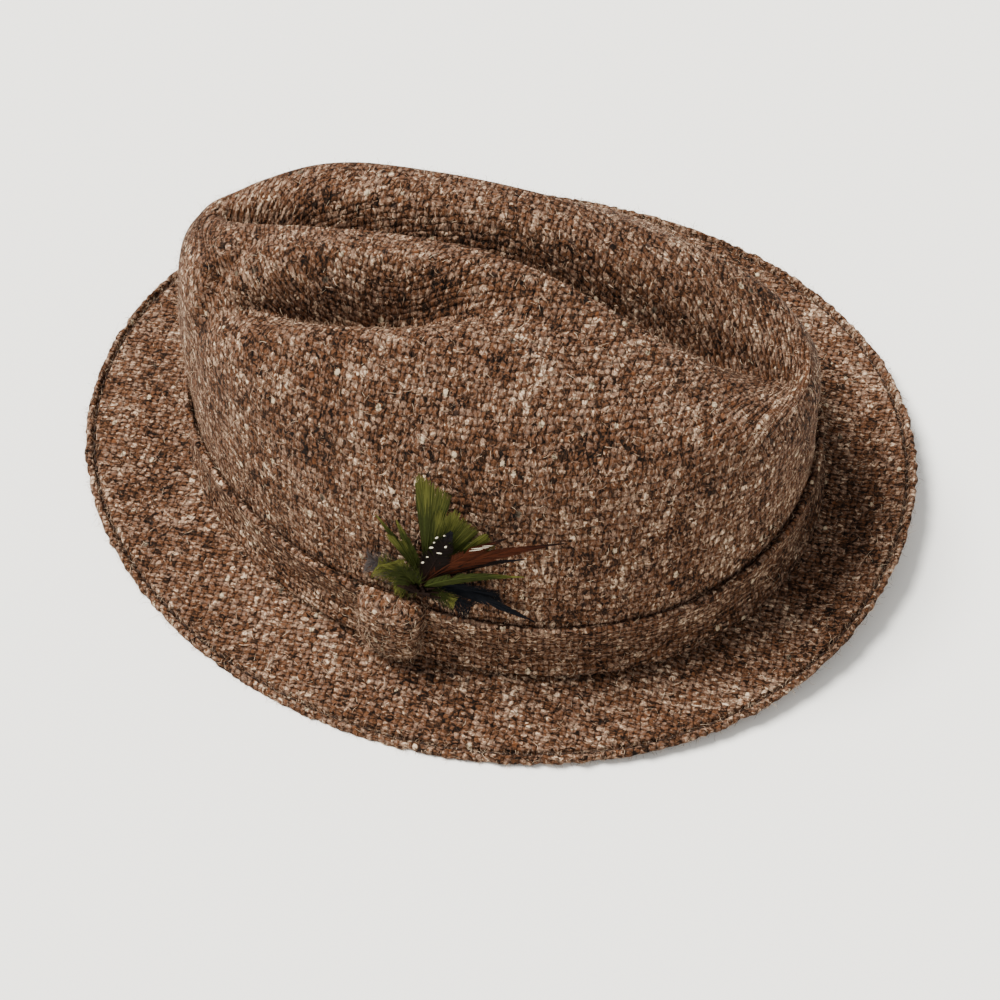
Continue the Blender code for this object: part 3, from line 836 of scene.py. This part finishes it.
def make_loop():
    """Puffy keeper of the band: a swollen front face and a flat back face."""
    wide = np.linspace(-1, 1, LOOP_CELLS)
    tall = np.linspace(0, 1, LOOP_CELLS)
    inside = 2 * GAP + 1.06 * BAND_THICK
    fronts = []
    backs = []
    for up in tall:
        taper = LOOP_TAPER + (1 - LOOP_TAPER) * up
        corner = 1 - 0.07 * abs(2 * up - 1) ** 7
        angle = np.radians(LOOP_ANGLE + LOOP_SPREAD * wide * taper * corner + 0.8 * (up - 0.5))
        bottom = 0.0020 + 0.0011 * wide**4
        height = bottom + (LOOP_HEIGHT - 0.0012 - 0.0016 * wide**4) * up
        height = height + 0.0006 * (1 - wide**2) * (up - 0.5)
        points, normal = wall_at(angle, height)
        edge = (1 - wide**6) ** 0.55 * (1 - (2 * up - 1) ** 6) ** 0.55
        sag = (0.74 + 0.26 * up) * (1 + 0.16 * np.sin(3.1 * wide + 1.0) * np.sin(pi * up))
        front = points + normal * (inside + 0.0012 + LOOP_PUFF * edge * sag)[:, None]
        front += normal * (softness(front, 120.0, 0.0006) * edge)[:, None]
        fronts.append(front)
        backs.append(points + normal * inside)
    verts = np.concatenate([np.array(fronts).reshape(-1, 3), np.array(backs).reshape(-1, 3)])
    flat = np.array([(across * 0.0095, up * 0.030) for up in tall for across in wide])
    flat = np.concatenate([flat, flat])
    count = LOOP_CELLS**2
    grid = np.arange(count).reshape(LOOP_CELLS, LOOP_CELLS)
    front = np.stack([grid[:-1, :-1], grid[:-1, 1:], grid[1:, 1:], grid[1:, :-1]], axis=-1)
    faces = np.stack([front, front[..., ::-1] + count], axis=2).reshape(-1, 4).tolist()
    border = np.concatenate([grid[0], grid[1:, -1], grid[-1, -2::-1], grid[-2:0:-1, 0]]).tolist()
    for one, two in zip(border, border[1:] + border[:1]):
        faces.append((two, one, count + one, count + two))
    weave = [flat[v] for face in faces for v in face]
    loop = cloth_mesh("cloth_loop", verts, faces, weave, tweed_finish("loop"))
    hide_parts("band_loop")


# Feathers


def bunch_frame():
    """Middle of the bunch on the crown's wall, and the directions along, up and out."""
    spot, away = wall_at(np.array([radians(BUNCH_ANGLE)]), BUNCH_HEIGHT)
    out = away[0]
    level = np.array([-out[1], out[0], 0.0])
    lean = radians(BUNCH_LEAN)
    up = np.array([0, 0, cos(lean)]) - out * sin(lean)
    lift = out * cos(lean) + np.array([0, 0, sin(lean)])
    return spot[0], level, up, lift


class Plumes:
    """Collects the barbs and quills of one dye into a mesh."""

    def __init__(self):
        self.spot, self.level, self.up, self.lift = bunch_frame()
        self.verts = []
        self.faces = []
        self.weave = []

    def point(self, u, v, w):
        fall = u * u / (2 * WALL_CURVE)
        return self.spot + self.level * u + self.up * v + self.lift * (w - fall)

    def strand(self, line, widths, shade, shares, section):
        """Strand of one section through points of (u, v, w); two corners make a flat one."""
        first = len(self.verts)
        count = len(section)
        line = np.array(line)
        halves = np.array(widths) / 2
        for (u, v, w), (du, dv), half in zip(line, headings(line[:, :2]), halves):
            for c, s in section * half:
                self.verts.append(self.point(u - dv * c, v + du * c, w + s))
        for k in range(len(line) - 1):
            base = first + count * k
            one, two = shares[k]
            for a in range(count if count > 2 else 1):
                b = (a + 1) % count
                self.faces.append((base + a, base + b, base + count + b, base + count + a))
                self.weave.extend([(shade, one), (shade, one), (shade, two), (shade, two)])

    def ribbon(self, line, widths, shade, shares):
        """Flat strand, for barbs and marks."""
        self.strand(line, widths, shade, list(zip(shares, shares[1:])), FLAT)

    def quill(self, line, widths, shade):
        """Thin round shaft."""
        shares = [(k / len(line), k / len(line)) for k in range(len(line))]
        self.strand(line, widths, shade, shares, ROUND)

    def piece(self, name, finish):
        made = cloth_mesh(name, self.verts, self.faces, self.weave, finish)
        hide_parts("feather_bunch")


def vane_width(form, share):
    """Share of the full width of a feather at a share of its length."""
    if form == "fan":
        return np.interp(share, [0, 0.3, 0.75, 0.92, 1.02], [0.14, 0.36, 0.92, 1.0, 0.75])
    if form == "vane":
        return np.interp(share, [0, 0.15, 0.45, 0.75, 1.02], [0.25, 0.75, 1.0, 0.70, 0.06])
    return np.interp(share, [0, 0.3, 0.8, 1.05], [0.7, 1.0, 1.0, 0.75])


def grow_feather(plumes, row, chance):
    """One feather: a shaft with barbs that sweep forward on both sides."""
    name, level, aim, reach, width, bend, dip, form, dye = row
    shaft_end, sweep, pitch, curl, barb_width, least, most, highest = FORMS[form]
    middle = FIRST_LEVEL + LEVEL_STEP * level
    ahead = radians(aim)
    barbs = int(reach / pitch)

    def spot(share, across, rise):
        along = reach * share
        sway = bend * share * share + across
        u = along * cos(ahead) - sway * sin(ahead)
        v = along * sin(ahead) + sway * cos(ahead)
        return (u, v, middle + dip * share * share + rise)

    shares = np.linspace(0.02, shaft_end, 10)
    thin = np.linspace(0.00055, 0.00012, 10)
    plumes.quill([spot(s, 0.0, 0.0002) for s in shares], thin, 0.75)
    for side in (-1, 1):
        clump = 0.0
        for k in range(barbs):
            if chance.random() < 0.07:
                clump = chance.normal(0, 0.045)
            start = 0.05 + 0.93 * (k + chance.random()) / barbs
            end = start + sweep * (1 - 0.45 * start) + clump + chance.normal(0, 0.012)
            if form == "fluff":
                end = start + sweep * chance.uniform(0.1, 2.6)
            reached = chance.uniform(least, most)
            if form == "fan":
                reached = chance.uniform(0.0, 1.0)
                start = 0.04 + 0.30 * reached * chance.random()
                end = 1.0 - 0.11 * (0.5 - 0.5 * side * reached) - abs(clump) * 2.4
                end -= 0.16 * chance.random() ** 3
            end = min(end, 1.0 + 0.03 * chance.random())
            half = width / 2 * vane_width(form, end) * reached
            rise = chance.uniform(0.0, highest)
            line = []
            for t in (0.0, 0.35, 0.7, 1.0):
                along = start + (end - start) * t
                line.append(spot(along, side * half * t**curl, rise * t + 0.00012 * (1 - t)))
            widths = [barb_width * w for w in (1.0, 1.1, 0.8, 0.2)]
            plumes.ribbon(line, widths, chance.random(), [start, (start + end) / 2, end, end])


def make_marks():
    """Pale spots and stripes on the dark feathers."""
    marks = Plumes()
    for u, v, lift, length, width, aim in FEATHER_MARKS:
        line = []
        for step in np.linspace(-0.5, 0.5, 5) * length:
            spot = (u + step * cos(radians(aim)), v + step * sin(radians(aim)), lift)
            line.append([value / 1000 for value in spot])
        widths = [width / 1000 * w for w in (0.35, 0.9, 1.0, 0.85, 0.3)]
        marks.ribbon(line, widths, 0.8, [0.5] * 5)
    cream = even((196, 188, 168))
    marks.piece("feather_marks", plume_finish("feather_cream", even((190, 182, 160)), cream, cream))


def make_knot(chance):
    """Short dark quills bound together where the feathers start."""
    knot = Plumes()
    for k in range(16):
        aim = radians(170 + 16 * k + chance.uniform(-8, 8))
        length = chance.uniform(0.0035, 0.0070)
        rise = chance.uniform(0.0045, 0.0064)
        line = []
        for t in np.linspace(-0.6, 1, 6):
            line.append((t * length * cos(aim), t * length * sin(aim) * 0.7, rise - 0.0008 * t))
        knot.quill(line, np.linspace(0.0011, 0.0006, 6), chance.uniform(0.1, 0.7))
    colours = [even(screen) for screen in ((22, 14, 11), (26, 17, 12), (48, 38, 24))]
    knot.piece("feather_knot", plume_finish("feather_quill", *colours))


def make_feathers():
    looks = bpy.context.scene.hat_feathers
    chance = np.random.default_rng(7)
    for dye, (root, tip, rough) in DYES.items():
        plumes = Plumes()
        for row in FEATHERS:
            if row[-1] == dye:
                grow_feather(plumes, row, chance)
        finish = plume_finish("feather_" + dye, even(root), getattr(looks, dye), even(tip), rough)
        plumes.piece("feathers_" + dye, finish)
    make_marks()
    make_knot(chance)


# Fuzz of the wool


def scatter(piece, count, chance, keep):
    """Random spots on a piece, spread by area, with the surface direction there."""
    polygons = piece.data.polygons
    number = len(polygons)
    centres = np.empty((number, 3))
    normals = np.empty((number, 3))
    areas = np.empty(number)
    for key, values in (("center", centres), ("normal", normals), ("area", areas)):
        polygons.foreach_get(key, values.ravel())
    areas = areas * keep(centres, normals)
    picks = chance.choice(number, size=count, p=areas / areas.sum())
    return centres[picks] + chance.normal(0, 0.0004, (count, 3)), normals[picks]


def make_hairs(name, roots, normals, chance, reach, lift, finish):
    """Short curved fibres that stand off the cloth."""
    count = len(roots)
    side = chance.normal(size=(count, 3))
    side -= normals * np.sum(side * normals, axis=1, keepdims=True)
    side /= np.linalg.norm(side, axis=1, keepdims=True)
    angle = np.radians(chance.uniform(lift[0], lift[1], count))[:, None]
    ahead = side * np.cos(angle) + normals * np.sin(angle)
    curl = chance.normal(size=(count, 3)) * 0.55 - normals * 0.35
    across = np.cross(ahead, normals) + chance.normal(size=(count, 3)) * 0.4
    across /= np.linalg.norm(across, axis=1, keepdims=True)
    length = chance.uniform(reach[0], reach[1], count)[:, None]
    points = [roots - normals * 0.0001]
    for k in range(3):
        step = ahead + curl * k * 0.6
        step /= np.linalg.norm(step, axis=1, keepdims=True)
        points.append(points[-1] + step * length / 3)
    verts = []
    for p, wide in zip(points, (1.0, 0.9, 0.7, 0.25)):
        half = across * HAIR_WIDTH * wide / 2
        verts.extend([p - half, p + half])
    verts = np.stack(verts, axis=1)
    verts[..., 2] = np.maximum(verts[..., 2], 0.0001)
    first = (np.arange(count) * 8)[:, None, None]
    quads = np.array([[0, 1, 3, 2], [2, 3, 5, 4], [4, 5, 7, 6]])[None]
    faces = (first + quads).reshape(-1, 4)
    shade = np.repeat(chance.random(count), 12)
    weave = np.column_stack([shade, np.full(len(shade), 0.5)])
    return cloth_mesh(name, verts.reshape(-1, 3), faces.tolist(), weave, finish)


def make_fuzz():
    looks = bpy.context.scene.hat_cloth
    chance = np.random.default_rng(21)
    yarns = (looks.dark_yarn, looks.rust_yarn, looks.sand_yarn, looks.cream_yarn)
    finish = hair_finish("wool_fuzz", list(zip((0.0, 0.3, 0.6, 1.0), yarns)), 0.95)

    def outside(centres, normals):
        middle = np.array([CREASE_SHIFT, HEAD_SHIFT, 0.045])
        away = np.sum((centres - middle) * normals, axis=1) > 0
        over = (normals[:, 2] > 0.1) | (centres[:, 2] < 0.085)
        return (away & over) | ((normals[:, 2] > 0.05) & (centres[:, 2] > 0.06))

    def upper(centres, normals):
        return (normals[:, 2] > -0.4) * (1 + 5 * (np.abs(normals[:, 2]) < 0.8))

    def pick(part, count, keep):
        return scatter(bpy.data.objects["cloth_" + part], count, chance, keep)

    reach = (0.0012, looks.fuzz_length)
    jobs = (("crown", 15000, outside), ("brim", 12000, upper), ("band", 3500, outside))
    for part, count, keep in (*jobs, ("loop", 900, outside)):
        roots, normals = pick(part, count, keep)
        hairs = make_hairs(part + "_fuzz", roots, normals, chance, reach, (8, 55), finish)
    picks = [pick("crown", 90, outside), pick("brim", 60, upper)]
    roots, normals = (np.concatenate(both) for both in zip(*picks))
    stray = make_hairs("stray_hairs", roots, normals, chance, (0.005, 0.010), (15, 60), finish)


# Stage


def make_floor(colour):
    mesh = bpy.data.meshes.new("floor")
    corners = [(x * FLOOR_HALF, y * FLOOR_HALF, 0) for x, y in ((-1, -1), (1, -1), (1, 1), (-1, 1))]
    mesh.from_pydata(corners, [], [(0, 1, 2, 3)])
    finish, tree, shader = new_finish("floor_paper", 0.95, 0.1)
    shader["Base Color"].default_value = (*colour, 1)
    mesh.materials.append(finish)
    place_in_scene("floor", mesh)


def make_stage():
    """Floor, the photograph's camera, one soft light and the light of the room."""
    looks = bpy.context.scene.hat_stage
    make_floor(looks.floor)
    azimuth = radians(CAMERA_AZIMUTH)
    elevation = radians(CAMERA_ELEVATION)
    ahead = Vector((-sin(azimuth), cos(azimuth), 0))
    right = Vector((cos(azimuth), sin(azimuth), 0))
    back = Vector((0, 0, sin(elevation))) - ahead * cos(elevation)
    turn = Matrix((right, back.cross(right), back)).transposed()
    lens = bpy.data.cameras.new("photo_camera")
    lens.sensor_width = 36
    lens.lens = CAMERA_LENS
    lens.shift_x, lens.shift_y = CAMERA_SHIFT
    camera = place_in_scene("photo_camera", lens)
    place = Vector(CAMERA_TARGET) + back * CAMERA_DISTANCE
    camera.matrix_world = Matrix.Translation(place) @ turn.to_4x4()
    bpy.context.scene.camera = camera
    sun = bpy.data.lights.new("soft_key", "SUN")
    sun.energy = looks.key
    sun.angle = LIGHT_SPREAD
    sun.color = (1.0, 0.985, 0.955)
    across, away, high = LIGHT_WAY
    toward = right * across + ahead * away + Vector((0, 0, high))
    lamp = place_in_scene("soft_key", sun)
    lamp.rotation_euler = toward.to_track_quat("Z", "Y").to_euler()
    world = bpy.data.worlds.new("studio")
    world.use_nodes = True
    room = world.node_tree.nodes["Background"].inputs
    room["Color"].default_value = (0.98, 0.99, 1.0, 1)
    room["Strength"].default_value = looks.fill
    bpy.context.scene.world = world


# Settings, operators and panel


def colour_setting(name, note, screen):
    return bpy.props.FloatVectorProperty(
        name=name, description=note, subtype="COLOR", size=3, min=0, max=1, default=even(screen)
    )


class HatCloth(bpy.types.PropertyGroup):
    """Yarn colours and fuzz of the tweed."""

    dark_yarn: colour_setting("Dark Yarn", "Darkest fibres of the tweed", (17, 12, 9))
    brown_yarn: colour_setting("Brown Yarn", "Deep brown fibres", (50, 33, 22))
    rust_yarn: colour_setting("Rust Yarn", "Rust brown fibres", (88, 55, 33))
    taupe_yarn: colour_setting("Taupe Yarn", "Grey brown fibres", (90, 71, 60))
    sand_yarn: colour_setting("Sand Yarn", "Beige fibres", (138, 109, 86))
    cream_yarn: colour_setting("Cream Yarn", "Palest fibres", (202, 180, 153))
    fuzz_length: bpy.props.FloatProperty(
        name="Fuzz Length",
        description="Longest fibre of the nap",
        default=0.0036,
        min=0,
        max=0.01,
        unit="LENGTH",
    )


class HatFeathers(bpy.types.PropertyGroup):
    """Dyes of the feather bunch."""

    green: colour_setting("Green", "Middle of the green feathers", (39.525, 43.86, 16.83))
    rust: colour_setting("Rust", "Middle of the rust feathers", (54, 25, 13))
    navy: colour_setting("Navy", "Middle of the navy feathers", (15, 17, 21))
    black: colour_setting("Black", "Middle of the spotted and striped feathers", (17, 11, 9))
    slate: colour_setting("Slate", "Middle of the slate feathers", (58, 54, 56))


class HatStage(bpy.types.PropertyGroup):
    """Floor and light of the studio."""

    floor: colour_setting("Floor", "Colour of the floor", (249, 247, 240))
    key: bpy.props.FloatProperty(
        name="Key", description="Strength of the main light", default=9.0, min=0, max=20
    )
    fill: bpy.props.FloatProperty(
        name="Fill", description="Strength of the room light", default=0.85, min=0, max=5
    )


class HAT_OT_crown(bpy.types.Operator):
    """Build the creased crown of woven cloth"""

    bl_idname = "hat.crown"
    bl_label = "Crown"

    def execute(self, context):
        make_crown()
        return {"FINISHED"}


class HAT_OT_brim(bpy.types.Operator):
    """Build the brim with its turned and stitched edge"""

    bl_idname = "hat.brim"
    bl_label = "Brim"

    def execute(self, context):
        make_brim()
        make_brim_stitches()
        return {"FINISHED"}


class HAT_OT_band(bpy.types.Operator):
    """Build the folded cloth band"""

    bl_idname = "hat.band"
    bl_label = "Band"

    def execute(self, context):
        make_band()
        return {"FINISHED"}


class HAT_OT_loop(bpy.types.Operator):
    """Build the puffy keeper loop of the band"""

    bl_idname = "hat.loop"
    bl_label = "Band Loop"

    def execute(self, context):
        make_loop()
        return {"FINISHED"}


class HAT_OT_feathers(bpy.types.Operator):
    """Build the feather bunch above the loop"""

    bl_idname = "hat.feathers"
    bl_label = "Feathers"

    def execute(self, context):
        make_feathers()
        return {"FINISHED"}


class HAT_OT_fuzz(bpy.types.Operator):
    """Grow the short wool fibres on the cloth pieces"""

    bl_idname = "hat.fuzz"
    bl_label = "Wool Fuzz"

    def execute(self, context):
        make_fuzz()
        return {"FINISHED"}


class HAT_OT_stage(bpy.types.Operator):
    """Set the floor, the light and the camera"""

    bl_idname = "hat.stage"
    bl_label = "Stage"

    def execute(self, context):
        make_stage()
        return {"FINISHED"}


OPERATORS = [HAT_OT_stage, HAT_OT_crown, HAT_OT_brim, HAT_OT_band, HAT_OT_loop]
OPERATORS += [HAT_OT_feathers, HAT_OT_fuzz]
SETTINGS = [("hat_cloth", HatCloth), ("hat_feathers", HatFeathers), ("hat_stage", HatStage)]


class HAT_PT_panel(bpy.types.Panel):
    """Sizes, colours and pieces of the hat"""

    bl_idname = "HAT_PT_panel"
    bl_label = "Tweed Hat"
    bl_space_type = "VIEW_3D"
    bl_region_type = "UI"
    bl_category = "Hat"

    def draw(self, context):
        for name, group in SETTINGS:
            box = self.layout.box()
            for key in group.__annotations__:
                box.prop(getattr(context.scene, name), key)
        for operator in OPERATORS:
            self.layout.operator(operator.bl_idname)


def register():
    for name, group in SETTINGS:
        bpy.utils.register_class(group)
        setattr(bpy.types.Scene, name, bpy.props.PointerProperty(type=group))
    for operator in OPERATORS:
        bpy.utils.register_class(operator)
    bpy.utils.register_class(HAT_PT_panel)


def unregister():
    bpy.utils.unregister_class(HAT_PT_panel)
    for operator in reversed(OPERATORS):
        bpy.utils.unregister_class(operator)
    for name, group in reversed(SETTINGS):
        delattr(bpy.types.Scene, name)
        bpy.utils.unregister_class(group)


def main():
    register()
    bpy.ops.hat.stage()
    bpy.ops.hat.crown()
    bpy.ops.hat.brim()
    bpy.ops.hat.band()
    bpy.ops.hat.loop()
    bpy.ops.hat.feathers()
    bpy.ops.hat.fuzz()


if __name__ == "__main__":
    main()
